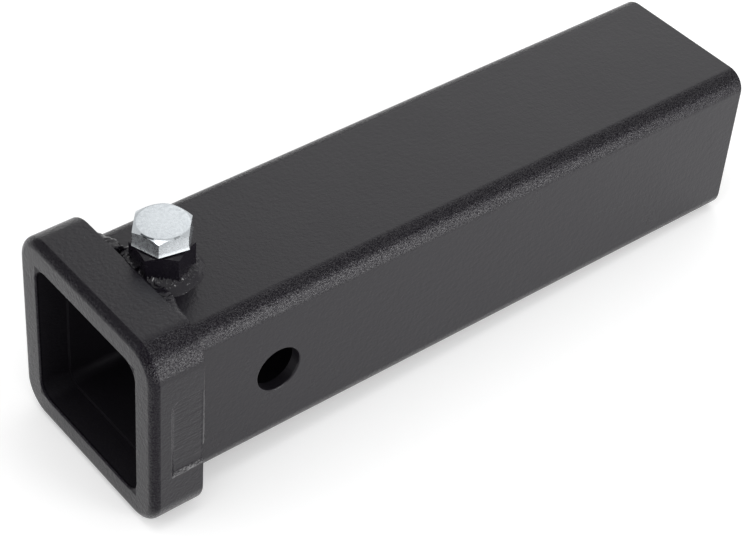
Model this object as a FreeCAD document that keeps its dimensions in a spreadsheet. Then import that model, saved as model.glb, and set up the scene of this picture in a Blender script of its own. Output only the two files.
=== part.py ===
"""Square receiver tube with a collar round its mouth and a clamp bolt in a welded nut."""
import FreeCAD
import Part

import math
import os

import Sketcher

# Driving dimensions, in millimetres and degrees. Lengths along the tube start at the mouth's face.
SIZES = {
    "tube_width": 60.0,
    "tube_wall": 4.0,
    "tube_corner": 7.0,
    "bore_corner": 4.0,
    "total_length": 254.0,
    "tail_edge": 0.5,
    "pin_hole_diameter": 16.3,
    "pin_hole_from_mouth": 52.5,
    "pin_hole_edge": 0.5,
    "collar_wall": 7.25,
    "collar_length": 19.0,
    "collar_corner": 11.5,
    "collar_front_edge": 3.0,
    "collar_back_edge": 0.6,
    "lip_length": 10.7,
    "lip_inset": 2.5,
    "lip_opening_corner": 5.7,
    "lip_edge": 0.8,
    "socket_clearance": 0.1,
    "dressed_depth": 1.0,
    "dressed_length": 11.5,
    "dressed_top": 16.5,
    "dressed_bottom": 15.0,
    "dressed_corner": 2.5,
    "bolt_from_collar": 11.3,
    "bolt_to_left": 2.0,
    "bolt_diameter": 12.0,
    "thread_clearance": 0.06,
    "wall_hole_clearance": 0.5,
    "bolt_shank": 18.0,
    "bolt_tip_edge": 1.2,
    "bolt_head_gap": 0.7,
    "bolt_turn": 19.2,
    "spanner_size": 18.0,
    "head_height": 6.3,
    "head_top_circle": 16.6,
    "head_bevel_angle": 30.0,
    "head_foot_circle": 17.2,
    "head_foot_height": 0.4,
    "nut_height": 12.0,
    "nut_turn": -5.0,
    "nut_top_circle": 17.0,
    "nut_bevel_angle": 30.0,
    "nut_mouth_bevel": 0.8,
    "nut_weld_foot": 4.6,
    "nut_weld_rise": 5.6,
    "nut_weld_fullness": 0.6,
    "nut_weld_sink": 1.0,
    "run_weld_radius": 5.2,
    "top_run_inset": 3.0,
    "side_run_length": 30.0,
    "side_run_radius": 4.0,
}

# Two places closer than this, in millimetres, are the same place.
SAME = 1e-3

doc = FreeCAD.newDocument("receiver_tube")
sheet = doc.addObject("Spreadsheet::Sheet", "Sizes")
for row, (alias, value) in enumerate(SIZES.items(), start=1):
    sheet.set(f"A{row}", alias)
    sheet.set(f"B{row}", str(value))
    sheet.setAlias(f"B{row}", alias)
doc.recompute()


def sized(expression):
    """Puts the sheet's name before each dimension of an expression."""
    words = []
    for word in expression.split():
        bare = word.strip("()")
        words.append(word.replace(bare, f"Sizes.{bare}") if bare in SIZES else word)
    return " ".join(words)


def value_of(expression):
    """Gives an expression's present value."""
    return float(sheet.evalExpression(sized(expression)))


def new_body(label):
    body = doc.addObject("PartDesign::Body", label)
    body.Label = label
    return body


def origin_feature(body, role):
    return next(feature for feature in body.Origin.OriginFeatures if feature.Role == role)


def new_sketch(body, name, role, offset=None):
    """Makes a sketch on one of the body's own planes, moved along the plane's normal by offset."""
    sketch = body.newObject("Sketcher::SketchObject", name)
    sketch.AttachmentSupport = [(origin_feature(body, role), "")]
    sketch.MapMode = "FlatFace"
    if offset:
        sketch.setExpression(".AttachmentOffset.Base.z", sized(offset))
    return sketch


def bind(sketch, constraint, name, expression):
    """Adds a constraint whose value follows an expression."""
    index = sketch.addConstraint(constraint)
    sketch.renameConstraint(index, name)
    sketch.setExpression(f"Constraints.{name}", sized(expression))


def draw_polygon(sketch, corners, tag="p"):
    """Draws a closed outline whose corners are pairs of expressions."""
    points = [FreeCAD.Vector(value_of(across), value_of(up), 0) for across, up in corners]
    lines = []
    for start, end in zip(points, points[1:] + points[:1]):
        lines.append(sketch.addGeometry(Part.LineSegment(start, end), False))
    for number, line in enumerate(lines):
        following = lines[(number + 1) % len(lines)]
        sketch.addConstraint(Sketcher.Constraint("Coincident", line, 2, following, 1))
    for number, (line, (across, up)) in enumerate(zip(lines, corners)):
        x_now, y_now = value_of(across), value_of(up)
        bind(sketch, Sketcher.Constraint("DistanceX", -1, 1, line, 1, x_now), f"{tag}x{number}", across)
        bind(sketch, Sketcher.Constraint("DistanceY", -1, 1, line, 1, y_now), f"{tag}y{number}", up)


def draw_hexagon(sketch, turn):
    """Draws a hexagon of the spanner's size, turned from two flats across the sketch's first axis."""
    reach = "spanner_size / 2 / cos( 30 deg )"
    corners = []
    for number in range(6):
        angle = f"( {30 + 60 * number} + {turn} ) * 1 deg"
        corners.append((f"{reach} * cos( {angle} )", f"{reach} * sin( {angle} )"))
    draw_polygon(sketch, corners)


def add_top_bevel(body, name, circle, height, angle):
    """Bevels a hexagon's corners all round, outward and down from a circle on its top."""
    bevel = new_sketch(body, name, "XZ_Plane")
    beyond = "spanner_size"
    draw_polygon(bevel, [
        (f"{circle} / 2", height),
        (beyond, f"{height} - ( {beyond} - {circle} / 2 ) * tan( {angle} * 1 deg )"),
        (beyond, height),
    ])
    return add_turned(body, "Groove", bevel)


def draw_circle(sketch, across, up, radius, tag="c"):
    centre = FreeCAD.Vector(value_of(across), value_of(up), 0)
    circle = sketch.addGeometry(Part.Circle(centre, FreeCAD.Vector(0, 0, 1), value_of(radius)), False)
    bind(sketch, Sketcher.Constraint("Radius", circle, value_of(radius)), f"{tag}r", radius)
    bind(sketch, Sketcher.Constraint("DistanceX", -1, 1, circle, 3, centre.x), f"{tag}x", across)
    bind(sketch, Sketcher.Constraint("DistanceY", -1, 1, circle, 3, centre.y), f"{tag}y", up)


def draw_round_square(sketch, half, corner, tag="s"):
    """Draws a square about the origin with a round at each corner, as one closed outline."""
    reach, radius = value_of(half), value_of(corner)
    flat = reach - radius
    lines, arcs = [], []
    for quarter in range(4):
        turn = FreeCAD.Rotation(FreeCAD.Vector(0, 0, 1), 90 * quarter)
        start = turn.multVec(FreeCAD.Vector(reach, -flat, 0))
        end = turn.multVec(FreeCAD.Vector(reach, flat, 0))
        lines.append(sketch.addGeometry(Part.LineSegment(start, end), False))
        centre = turn.multVec(FreeCAD.Vector(flat, flat, 0))
        circle = Part.Circle(centre, FreeCAD.Vector(0, 0, 1), radius)
        first = math.radians(90 * quarter)
        arcs.append(sketch.addGeometry(Part.ArcOfCircle(circle, first, first + math.pi / 2), False))
    for quarter, (line, arc) in enumerate(zip(lines, arcs)):
        following = lines[(quarter + 1) % 4]
        sketch.addConstraint(Sketcher.Constraint("Tangent", line, 2, arc, 1))
        sketch.addConstraint(Sketcher.Constraint("Tangent", arc, 2, following, 1))
        sketch.addConstraint(Sketcher.Constraint("Horizontal" if quarter % 2 else "Vertical", line))
        bind(sketch, Sketcher.Constraint("Distance", -1, 1, line, reach), f"{tag}half{quarter}", half)
    for arc in arcs[1:]:
        sketch.addConstraint(Sketcher.Constraint("Equal", arcs[0], arc))
    bind(sketch, Sketcher.Constraint("Radius", arcs[0], radius), f"{tag}corner", corner)


def add_pad(body, sketch, length):
    pad = body.newObject("PartDesign::Pad", f"{sketch.Name}_pad")
    pad.Profile = sketch
    pad.setExpression("Length", sized(length))
    return pad


def add_pocket(body, sketch, reverse=False, both=False):
    """Cuts a sketch right through: against the plane's normal, along it if reversed, or both ways."""
    doc.recompute()
    before = body.Shape.Volume
    pocket = body.newObject("PartDesign::Pocket", f"{sketch.Name}_pocket")
    pocket.Profile = sketch
    pocket.Type = "ThroughAll"
    pocket.SideType = "Symmetric" if both else "One side"
    pocket.Reversed = reverse
    doc.recompute()
    assert body.Shape.Volume < before - 1e-6, f"{sketch.Name} cuts nothing"
    return pocket


def add_turned(body, kind, sketch):
    """Turns a sketch about the body's own Z axis, to add (Revolution) or to cut (Groove)."""
    doc.recompute()
    turned = body.newObject(f"PartDesign::{kind}", f"{sketch.Name}_turned")
    turned.Profile = sketch
    turned.ReferenceAxis = (origin_feature(body, "Z_Axis"), [""])
    turned.Angle = 360
    doc.recompute()
    return turned


def edges_where(shape, wanted):
    return [f"Edge{number}" for number, edge in enumerate(shape.Edges, start=1) if wanted(edge)]


def add_edge_feature(body, kind, name, size, wanted):
    """Rounds (Fillet) or bevels (Chamfer) the edges of the body that pass a test."""
    doc.recompute()
    base = body.Tip
    names = edges_where(base.Shape, wanted)
    assert names, f"{name} finds no edge"
    feature = body.newObject(f"PartDesign::{kind}", name)
    feature.Base = (base, names)
    feature.setExpression("Radius" if kind == "Fillet" else "Size", sized(size))
    doc.recompute()
    return feature


def edge_lies_at(edge, axis, place):
    """Tells whether the whole edge lies in the plane where axis (0, 1 or 2) equals place."""
    box = edge.BoundBox
    low = (box.XMin, box.YMin, box.ZMin)[axis]
    high = (box.XMax, box.YMax, box.ZMax)[axis]
    return abs(low - place) < SAME and abs(high - place) < SAME


def move_to(body, x="0", y="0", z="0"):
    """Places a body built from its own foot, with x counted from the mouth's face."""
    body.setExpression(".Placement.Base.x", sized(f"( {x} ) - pin_hole_from_mouth"))
    body.setExpression(".Placement.Base.y", sized(y))
    body.setExpression(".Placement.Base.z", sized(z))


def make_tube():
    """The square hollow section, from its end inside the collar to the tail."""
    body = new_body("receiver_tube")
    section = new_sketch(body, "tube_section", "YZ_Plane", "lip_length")
    draw_round_square(section, "tube_width / 2", "tube_corner", "outer")
    draw_round_square(section, "tube_width / 2 - tube_wall", "bore_corner", "inner")
    add_pad(body, section, "total_length - lip_length")

    pin_hole = new_sketch(body, "pin_hole", "XZ_Plane")
    draw_circle(pin_hole, "pin_hole_from_mouth", "0", "pin_hole_diameter / 2")
    add_pocket(body, pin_hole, both=True)

    bolt_hole = new_sketch(body, "bolt_hole", "XY_Plane")
    bolt_hole_radius = "bolt_diameter / 2 + wall_hole_clearance"
    draw_circle(bolt_hole, "collar_length + bolt_from_collar", "bolt_to_left", bolt_hole_radius)
    add_pocket(body, bolt_hole, reverse=True)

    half_width = value_of("tube_width / 2")
    tail = value_of("total_length")
    add_edge_feature(body, "Chamfer", "pin_hole_edges", "pin_hole_edge", lambda edge: (
        edge_lies_at(edge, 1, half_width) or edge_lies_at(edge, 1, -half_width))
        and isinstance(edge.Curve, Part.Circle))
    add_edge_feature(body, "Chamfer", "tail_edges", "tail_edge", lambda edge: edge_lies_at(edge, 0, tail))
    move_to(body)


def make_collar():
    """The ring round the mouth: a lip in front of the tube's end and a socket that holds it."""
    body = new_body("mouth_collar")
    outline = new_sketch(body, "collar_outline", "YZ_Plane")
    draw_round_square(outline, "tube_width / 2 + collar_wall", "collar_corner")
    add_pad(body, outline, "collar_length")
    back = value_of("collar_length")
    add_edge_feature(body, "Fillet", "front_edges", "collar_front_edge", lambda edge: (
        edge_lies_at(edge, 0, 0)))
    add_edge_feature(body, "Chamfer", "back_edges", "collar_back_edge", lambda edge: (
        edge_lies_at(edge, 0, back)))

    opening = new_sketch(body, "lip_hole", "YZ_Plane")
    draw_round_square(opening, "tube_width / 2 - lip_inset", "lip_opening_corner")
    add_pocket(body, opening, reverse=True)
    half_opening = value_of("tube_width / 2 - lip_inset") + SAME
    add_edge_feature(body, "Chamfer", "mouth_edges", "lip_edge", lambda edge: (
        edge_lies_at(edge, 0, 0) and max(edge.BoundBox.YMax, edge.BoundBox.ZMax) < half_opening
        and min(edge.BoundBox.YMin, edge.BoundBox.ZMin) > -half_opening))

    socket = new_sketch(body, "socket", "YZ_Plane", "lip_length")
    draw_round_square(socket, "tube_width / 2 + socket_clearance", "tube_corner + socket_clearance")
    add_pocket(body, socket, reverse=True)

    flat = new_sketch(body, "dressed_flat", "XZ_Plane", "tube_width / 2 + collar_wall - dressed_depth")
    front = "collar_length - dressed_length"
    beyond = "collar_length + dressed_length"
    draw_polygon(flat, [
        (front, "0 - dressed_bottom"),
        (beyond, "0 - dressed_bottom"),
        (beyond, "dressed_top"),
        (front + " + dressed_corner", "dressed_top"),
        (front, "dressed_top - dressed_corner"),
    ])
    add_pocket(body, flat, reverse=True)
    move_to(body)


def make_weld_run(label, radius, side, first, last):
    """A bead with bevelled ends in the corner behind the collar, on one side of the tube.

    side counts quarter turns from the top, and first and last are the bead's ends across that side.
    """
    body = new_body(label)
    section = new_sketch(body, f"{label}_section", "XZ_Plane", f"0 - ( {last} )")
    draw_circle(section, "collar_length", "tube_width / 2", radius)
    add_pad(body, section, f"( {last} ) - ( {first} )")
    places = (value_of(first), value_of(last))
    add_edge_feature(body, "Chamfer", f"{label}_ends", f"{radius} / 2", lambda edge: any(
        edge_lies_at(edge, 1, place) for place in places))
    seat = new_sketch(body, f"{label}_seat", "XZ_Plane")
    reach = f"2 * {radius}"
    draw_polygon(seat, [
        ("collar_length", f"tube_width / 2 + {reach}"),
        ("collar_length", "tube_width / 2"),
        (f"collar_length + {reach}", "tube_width / 2"),
        (f"collar_length + {reach}", f"tube_width / 2 - {reach}"),
        (f"collar_length - {reach}", f"tube_width / 2 - {reach}"),
        (f"collar_length - {reach}", f"tube_width / 2 + {reach}"),
    ])
    add_pocket(body, seat, both=True)
    move_to(body)
    body.Placement.Rotation = FreeCAD.Rotation(FreeCAD.Vector(1, 0, 0), 90 * side)


def make_nut():
    """The hexagon nut, built from its foot on the tube's top."""
    body = new_body("clamp_nut")
    outline = new_sketch(body, "nut_outline", "XY_Plane")
    draw_hexagon(outline, "nut_turn")
    add_pad(body, outline, "nut_height")
    add_top_bevel(body, "nut_bevel", "nut_top_circle", "nut_height", "nut_bevel_angle")
    bore = new_sketch(body, "nut_bore", "XY_Plane")
    draw_circle(bore, "0", "0", "bolt_diameter / 2 + thread_clearance")
    add_pocket(body, bore, reverse=True)
    radius = value_of("bolt_diameter / 2 + thread_clearance")
    top = value_of("nut_height")
    add_edge_feature(body, "Chamfer", "nut_mouth", "nut_mouth_bevel", lambda edge: (
        edge_lies_at(edge, 2, top) and abs(edge.BoundBox.XMax - radius) < SAME))
    move_to(body, "collar_length + bolt_from_collar", "bolt_to_left", "tube_width / 2")


def make_nut_weld():
    """The bead round the nut's foot, cut to the nut, the tube's top and the collar's back."""
    body = new_body("nut_weld")
    section = new_sketch(body, "nut_weld_section", "XZ_Plane")
    inner = "spanner_size / 2 - nut_weld_sink"
    draw_polygon(section, [
        (inner, "0"),
        ("spanner_size / 2 + nut_weld_foot", "0"),
        ("spanner_size / 2 + nut_weld_foot * nut_weld_fullness", "nut_weld_rise * nut_weld_fullness"),
        ("spanner_size / 2", "nut_weld_rise"),
        (inner, "nut_weld_rise"),
    ])
    add_turned(body, "Revolution", section)
    nut = new_sketch(body, "nut_room", "XY_Plane")
    draw_hexagon(nut, "nut_turn")
    add_pocket(body, nut, both=True)
    reach = "spanner_size + nut_weld_foot"
    below = new_sketch(body, "below_foot", "XZ_Plane")
    collar_back = "0 - bolt_from_collar"
    draw_polygon(below, [
        (collar_back, reach),
        (collar_back, "0"),
        (reach, "0"),
        (reach, f"0 - ( {reach} )"),
        (f"0 - ( {reach} )", f"0 - ( {reach} )"),
        (f"0 - ( {reach} )", reach),
    ])
    add_pocket(body, below, both=True)
    move_to(body, "collar_length + bolt_from_collar", "bolt_to_left", "tube_width / 2")


def make_bolt():
    """The hexagon bolt, built from the underside of its head."""
    body = new_body("clamp_bolt")
    outline = new_sketch(body, "head_outline", "XY_Plane", "head_foot_height")
    draw_hexagon(outline, "bolt_turn")
    add_pad(body, outline, "head_height - head_foot_height")
    add_top_bevel(body, "head_bevel", "head_top_circle", "head_height", "head_bevel_angle")
    shank = new_sketch(body, "shank", "XZ_Plane")
    draw_polygon(shank, [
        ("0", "head_foot_height"),
        ("head_foot_circle / 2", "head_foot_height"),
        ("head_foot_circle / 2", "0"),
        ("bolt_diameter / 2", "0"),
        ("bolt_diameter / 2", "0 - bolt_shank + bolt_tip_edge"),
        ("bolt_diameter / 2 - bolt_tip_edge", "0 - bolt_shank"),
        ("0", "0 - bolt_shank"),
    ])
    add_turned(body, "Revolution", shank)
    height = "tube_width / 2 + nut_height + bolt_head_gap"
    move_to(body, "collar_length + bolt_from_collar", "bolt_to_left", height)


def check_document():
    """Stops if any object failed or any sub-part isn't one valid solid."""
    doc.recompute()
    for item in doc.Objects:
        assert not {"Invalid", "Error"} & set(item.State), f"{item.Name} is {item.State}"
    for body in doc.findObjects("PartDesign::Body"):
        shape = body.Shape
        assert not shape.isNull() and shape.isValid() and shape.Solids, f"{body.Label} has no valid solid"


# How far the runs on top stay from the bolt's axis, to clear the bead round the nut, and where they end.
nut_to_run = (
    "sqrt( ( spanner_size / 2 + nut_weld_foot ) ^ 2 - ( bolt_from_collar - run_weld_radius / 2 ) ^ 2 )")
top_run_end = "tube_width / 2 - top_run_inset"
top_left_start = f"bolt_to_left + {nut_to_run}"
top_right_start = f"bolt_to_left - {nut_to_run}"
make_tube()
make_collar()
make_nut()
make_nut_weld()
make_bolt()
make_weld_run("collar_top_left_weld", "run_weld_radius", 0, top_left_start, top_run_end)
make_weld_run("collar_top_right_weld", "run_weld_radius", 0, f"0 - ( {top_run_end} )", top_right_start)
for label, side in (("collar_right_weld", 1), ("collar_bottom_weld", 2), ("collar_left_weld", 3)):
    make_weld_run(label, "side_run_radius", side, "0 - side_run_length / 2", "side_run_length / 2")
check_document()

os.makedirs("parts", exist_ok=True)
for body in doc.findObjects("PartDesign::Body"):
    body.Shape.exportStep(f"parts/{body.Label}.step")
    print(f"{body.Label}: {body.Shape.Volume:.1f} mm3, {len(body.Shape.Solids)} solid(s)")
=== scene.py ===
"""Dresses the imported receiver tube: painted steel, weld beads, a zinc-plated clamp bolt and a studio."""

import math
import random

import bmesh
import bpy
from mathutils import Matrix, Vector, noise


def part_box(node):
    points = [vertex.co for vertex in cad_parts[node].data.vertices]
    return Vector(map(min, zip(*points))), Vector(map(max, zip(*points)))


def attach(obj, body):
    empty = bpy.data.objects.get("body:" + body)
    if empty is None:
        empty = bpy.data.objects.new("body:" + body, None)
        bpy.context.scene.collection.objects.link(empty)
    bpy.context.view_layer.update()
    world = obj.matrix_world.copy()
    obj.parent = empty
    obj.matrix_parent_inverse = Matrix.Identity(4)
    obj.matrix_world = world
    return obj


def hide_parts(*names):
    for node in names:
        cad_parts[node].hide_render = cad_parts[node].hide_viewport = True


bl_info = {
    "name": "Receiver Tube Dressing",
    "version": (1, 0, 0),
    "blender": (4, 5, 0),
    "location": "View3D > Sidebar > Receiver Tube",
    "description": "Finishes the pieces of a square receiver tube and sets up its studio",
    "category": "Object",
}

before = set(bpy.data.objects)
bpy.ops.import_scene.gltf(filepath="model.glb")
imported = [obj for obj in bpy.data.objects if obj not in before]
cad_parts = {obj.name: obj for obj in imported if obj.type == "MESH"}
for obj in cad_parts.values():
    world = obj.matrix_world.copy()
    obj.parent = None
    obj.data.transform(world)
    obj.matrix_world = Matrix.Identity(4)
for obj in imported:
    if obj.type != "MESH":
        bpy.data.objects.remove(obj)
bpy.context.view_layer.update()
MM = 0.001

# Places along the tube in the row frame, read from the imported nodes.
MOUTH_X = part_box("mouth_collar")[0].x
COLLAR_BACK_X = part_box("mouth_collar")[1].x
TAIL_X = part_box("receiver_tube")[1].x
TUBE_FRONT_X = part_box("receiver_tube")[0].x
TUBE_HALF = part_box("receiver_tube")[1].z
COLLAR_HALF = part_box("mouth_collar")[1].y
NUT_LOW, NUT_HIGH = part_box("clamp_nut")
BOLT_LOW, BOLT_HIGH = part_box("clamp_bolt")
BOLT_AXIS = Vector(((NUT_LOW.x + NUT_HIGH.x) / 2, (NUT_LOW.y + NUT_HIGH.y) / 2, 0))

# Radii about the bolt's axis.
BOLT_HOLE = 6.5 * MM
NUT_BORE = 6.06 * MM
NUT_TOP_CIRCLE = 8.5 * MM
HEAD_TOP_CIRCLE = 8.3 * MM
HEAD_FOOT_CIRCLE = 8.6 * MM
THREAD_CREST = 5.95 * MM
THREAD_ROOT = 4.95 * MM

# How far the cut faces of a weld bead lie inside the steel that they touch.
BEAD_SINK = 0.02 * MM

# The photograph's size in pixels and the viewpoint fitted to it.
IMAGE = (746, 547)
CAMERA = {
    "azimuth": -39.2405,
    "elevation": 41.3777,
    "roll": 3.1487,
    "focal_px": 2139.859,
    "centre_px": (300.0, 255.0),
    "place": (-0.299294, -0.403710, 0.469838),
}


def length_prop(name, description, default):
    return bpy.props.FloatProperty(
        name=name, description=description, default=default, unit="LENGTH", subtype="DISTANCE", precision=5)


def angle_prop(name, description, degrees):
    return bpy.props.FloatProperty(
        name=name, description=description, default=math.radians(degrees), unit="ROTATION", subtype="ANGLE")


def colour_prop(name, description, default):
    return bpy.props.FloatVectorProperty(
        name=name, description=description, default=default, size=3, min=0, max=1, subtype="COLOR")


class ReceiverShape(bpy.types.PropertyGroup):
    """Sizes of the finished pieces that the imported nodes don't give."""

    tube_wall: length_prop("Tube wall", "Thickness of the tube's wall", 4.0 * MM)
    tube_corner: length_prop("Tube corner", "Outside radius of the tube's corners", 7.0 * MM)
    bore_corner: length_prop("Bore corner", "Radius of the corners inside the tube", 4.0 * MM)
    pin_hole: length_prop("Pin hole", "Diameter of the cross pin hole", 16.3 * MM)
    pin_hole_edge: length_prop("Pin hole edge", "Width of the broken edge round the pin hole", 0.5 * MM)
    collar_corner: length_prop("Collar corner", "Outside radius of the collar's corners", 11.5 * MM)
    collar_round: length_prop("Collar front round", "Radius of the collar's front outer edge", 3.0 * MM)
    lip_half: length_prop("Lip opening half", "Half the width of the opening in the collar's lip", 27.5 * MM)
    lip_corner: length_prop("Lip corner", "Corner radius of the opening in the collar's lip", 5.7 * MM)
    lip_edge: length_prop("Lip edge", "Radius of the edge round the mouth", 0.8 * MM)
    dressed_depth: length_prop("Dressed flat depth", "Depth of the ground flat on the right side", 1.0 * MM)
    dressed_length: length_prop("Dressed flat length", "Length of the ground flat from the back", 11.5 * MM)
    dressed_top: length_prop("Dressed flat top", "Height of the ground flat's top", 16.5 * MM)
    dressed_bottom: length_prop("Dressed flat bottom", "Depth of the ground flat's bottom", 15.0 * MM)
    spanner: length_prop("Spanner size", "Width across the flats of the head and the nut", 18.0 * MM)
    head_height: length_prop("Head height", "Height of the bolt's head", 6.3 * MM)
    head_turn: angle_prop("Head turn", "Turn of the bolt's head about its axis", 19.2)
    nut_turn: angle_prop("Nut turn", "Turn of the nut about its axis", -5.0)
    thread_pitch: length_prop("Thread pitch", "Distance between turns of the thread", 1.75 * MM)


class ReceiverFinish(bpy.types.PropertyGroup):
    """Colours of the finishes and the studio."""

    paint: colour_prop("Paint", "Colour of the black paint", (0.0083, 0.0070, 0.0103))
    # Light specks of the paint: real dust, and painted glints on the rounded corners.
    paint_dust_and_glints: colour_prop("Paint dust", "Colour of the paint's light specks", (0.05, 0.048, 0.052))
    zinc: colour_prop("Zinc", "Colour of the zinc plating", (0.63, 0.665, 0.69))
    zinc_dull: colour_prop("Dull zinc", "Colour of the dull patches in the plating", (0.45, 0.48, 0.51))
    # Painted light: the plating is painted lighter low on the head's sides.
    zinc_side_painted_light: colour_prop("Zinc sides", "Colour of the plating low on the head's sides", (0.86, 0.90, 0.93))
    zinc_mark: colour_prop("Zinc marks", "Colour of the dark marks on the head's bevel", (0.10, 0.11, 0.12))
    floor: colour_prop("Floor", "Colour of the studio floor", (0.86, 0.86, 0.86))


# Node helpers

def add_node(tree, kind, inputs=None, **settings):
    """A node whose inputs are constants or the outputs of other nodes."""
    node = tree.nodes.new(kind)
    for name, value in settings.items():
        setattr(node, name, value)
    for socket, value in (inputs or {}).items():
        if isinstance(value, bpy.types.NodeSocket):
            link(tree, value, node.inputs[socket])
        else:
            node.inputs[socket].default_value = value
    return node


def link(tree, start, end):
    tree.links.new(start, end)


def new_group(name, inputs, outputs):
    """A shader node group with inputs of (name, kind, default) and outputs that are all values."""
    group = bpy.data.node_groups.new(name, "ShaderNodeTree")
    for label, kind, default in inputs:
        socket = group.interface.new_socket(label, in_out="INPUT", socket_type=kind)
        if default is not None:
            socket.default_value = default
    for label in outputs:
        group.interface.new_socket(label, in_out="OUTPUT", socket_type="NodeSocketFloat")
    return group, group.nodes.new("NodeGroupInput"), group.nodes.new("NodeGroupOutput")


def new_material(name):
    """A material, its node tree and its shader."""
    material = bpy.data.materials.new(name)
    material.use_nodes = True
    return material, material.node_tree, material.node_tree.nodes["Principled BSDF"]


def math_node(tree, operation, *values, clamp=False):
    """The result of a Math node for numbers or the outputs of other nodes."""
    node = add_node(tree, "ShaderNodeMath", dict(enumerate(values)), operation=operation, use_clamp=clamp)
    return node.outputs[0]


def multiply_add(tree, value, factor, offset):
    return math_node(tree, "MULTIPLY_ADD", value, factor, offset)


def add_values(tree, first, second):
    return math_node(tree, "ADD", first, second)


def scaled(tree, value, factor):
    return multiply_add(tree, value, factor, 0.0)


def rising(tree, value, width, start):
    """Climbs by one over a width, from start at a value of nought, and stays within nought and one."""
    return math_node(tree, "MULTIPLY_ADD", value, 1 / width, start, clamp=True)


def vector_math(tree, operation, *values):
    """The result of a Vector Math node, which is a number for a length or a distance."""
    node = add_node(tree, "ShaderNodeVectorMath", dict(enumerate(values)), operation=operation)
    return node.outputs["Value" if operation in ("LENGTH", "DISTANCE") else "Vector"]


def split_axes(tree, vector):
    """The vector's x, y and z."""
    return tuple(add_node(tree, "ShaderNodeSeparateXYZ", {0: vector}).outputs)


def mapped(tree, value, start, end, low=0.0, high=1.0):
    """Turns the range from start to end into the range from low to high, and stops there."""
    node = add_node(tree, "ShaderNodeMapRange", {
        "Value": value, "From Min": start, "From Max": end, "To Min": low, "To Max": high})
    return node.outputs["Result"]


def noise_value(tree, vector, scale, detail, roughness):
    node = add_node(tree, "ShaderNodeTexNoise", {
        "Vector": vector, "Scale": scale, "Detail": detail, "Roughness": roughness})
    return node.outputs["Fac"]


def step_up(tree, value, low, high):
    """Black up to the low level, white from the high level and an even change between them."""
    node = add_node(tree, "ShaderNodeValToRGB", {"Fac": value})
    for element, level in zip(node.color_ramp.elements, (low, high)):
        element.position = level
    return node.outputs["Color"]


def mixed(tree, first, second, factor):
    """A mix of two colours, either of which may be a constant."""
    first, second = (
        colour if isinstance(colour, bpy.types.NodeSocket) else (*colour, 1) for colour in (first, second))
    node = add_node(tree, "ShaderNodeMix", {"A": first, "B": second, "Factor": factor}, data_type="RGBA")
    return node.outputs["Result"]


def stretched(tree, vector, scale):
    return add_node(tree, "ShaderNodeMapping", {"Vector": vector, "Scale": scale}).outputs["Vector"]


def bumped(tree, **inputs):
    """The normal that a Bump node gives for its Height, Strength, Distance and Normal."""
    return add_node(tree, "ShaderNodeBump", inputs).outputs["Normal"]


def object_vector(tree):
    return add_node(tree, "ShaderNodeTexCoord").outputs["Object"]


def box_mask(tree, vector, low, high):
    """One between two corners and nought outside them."""
    along, across, up = (
        math_node(tree, "COMPARE", value, (start + end) / 2, (end - start) / 2)
        for value, start, end in zip(split_axes(tree, vector), low, high))
    return scaled(tree, scaled(tree, along, across), up)


# Finishes

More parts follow.
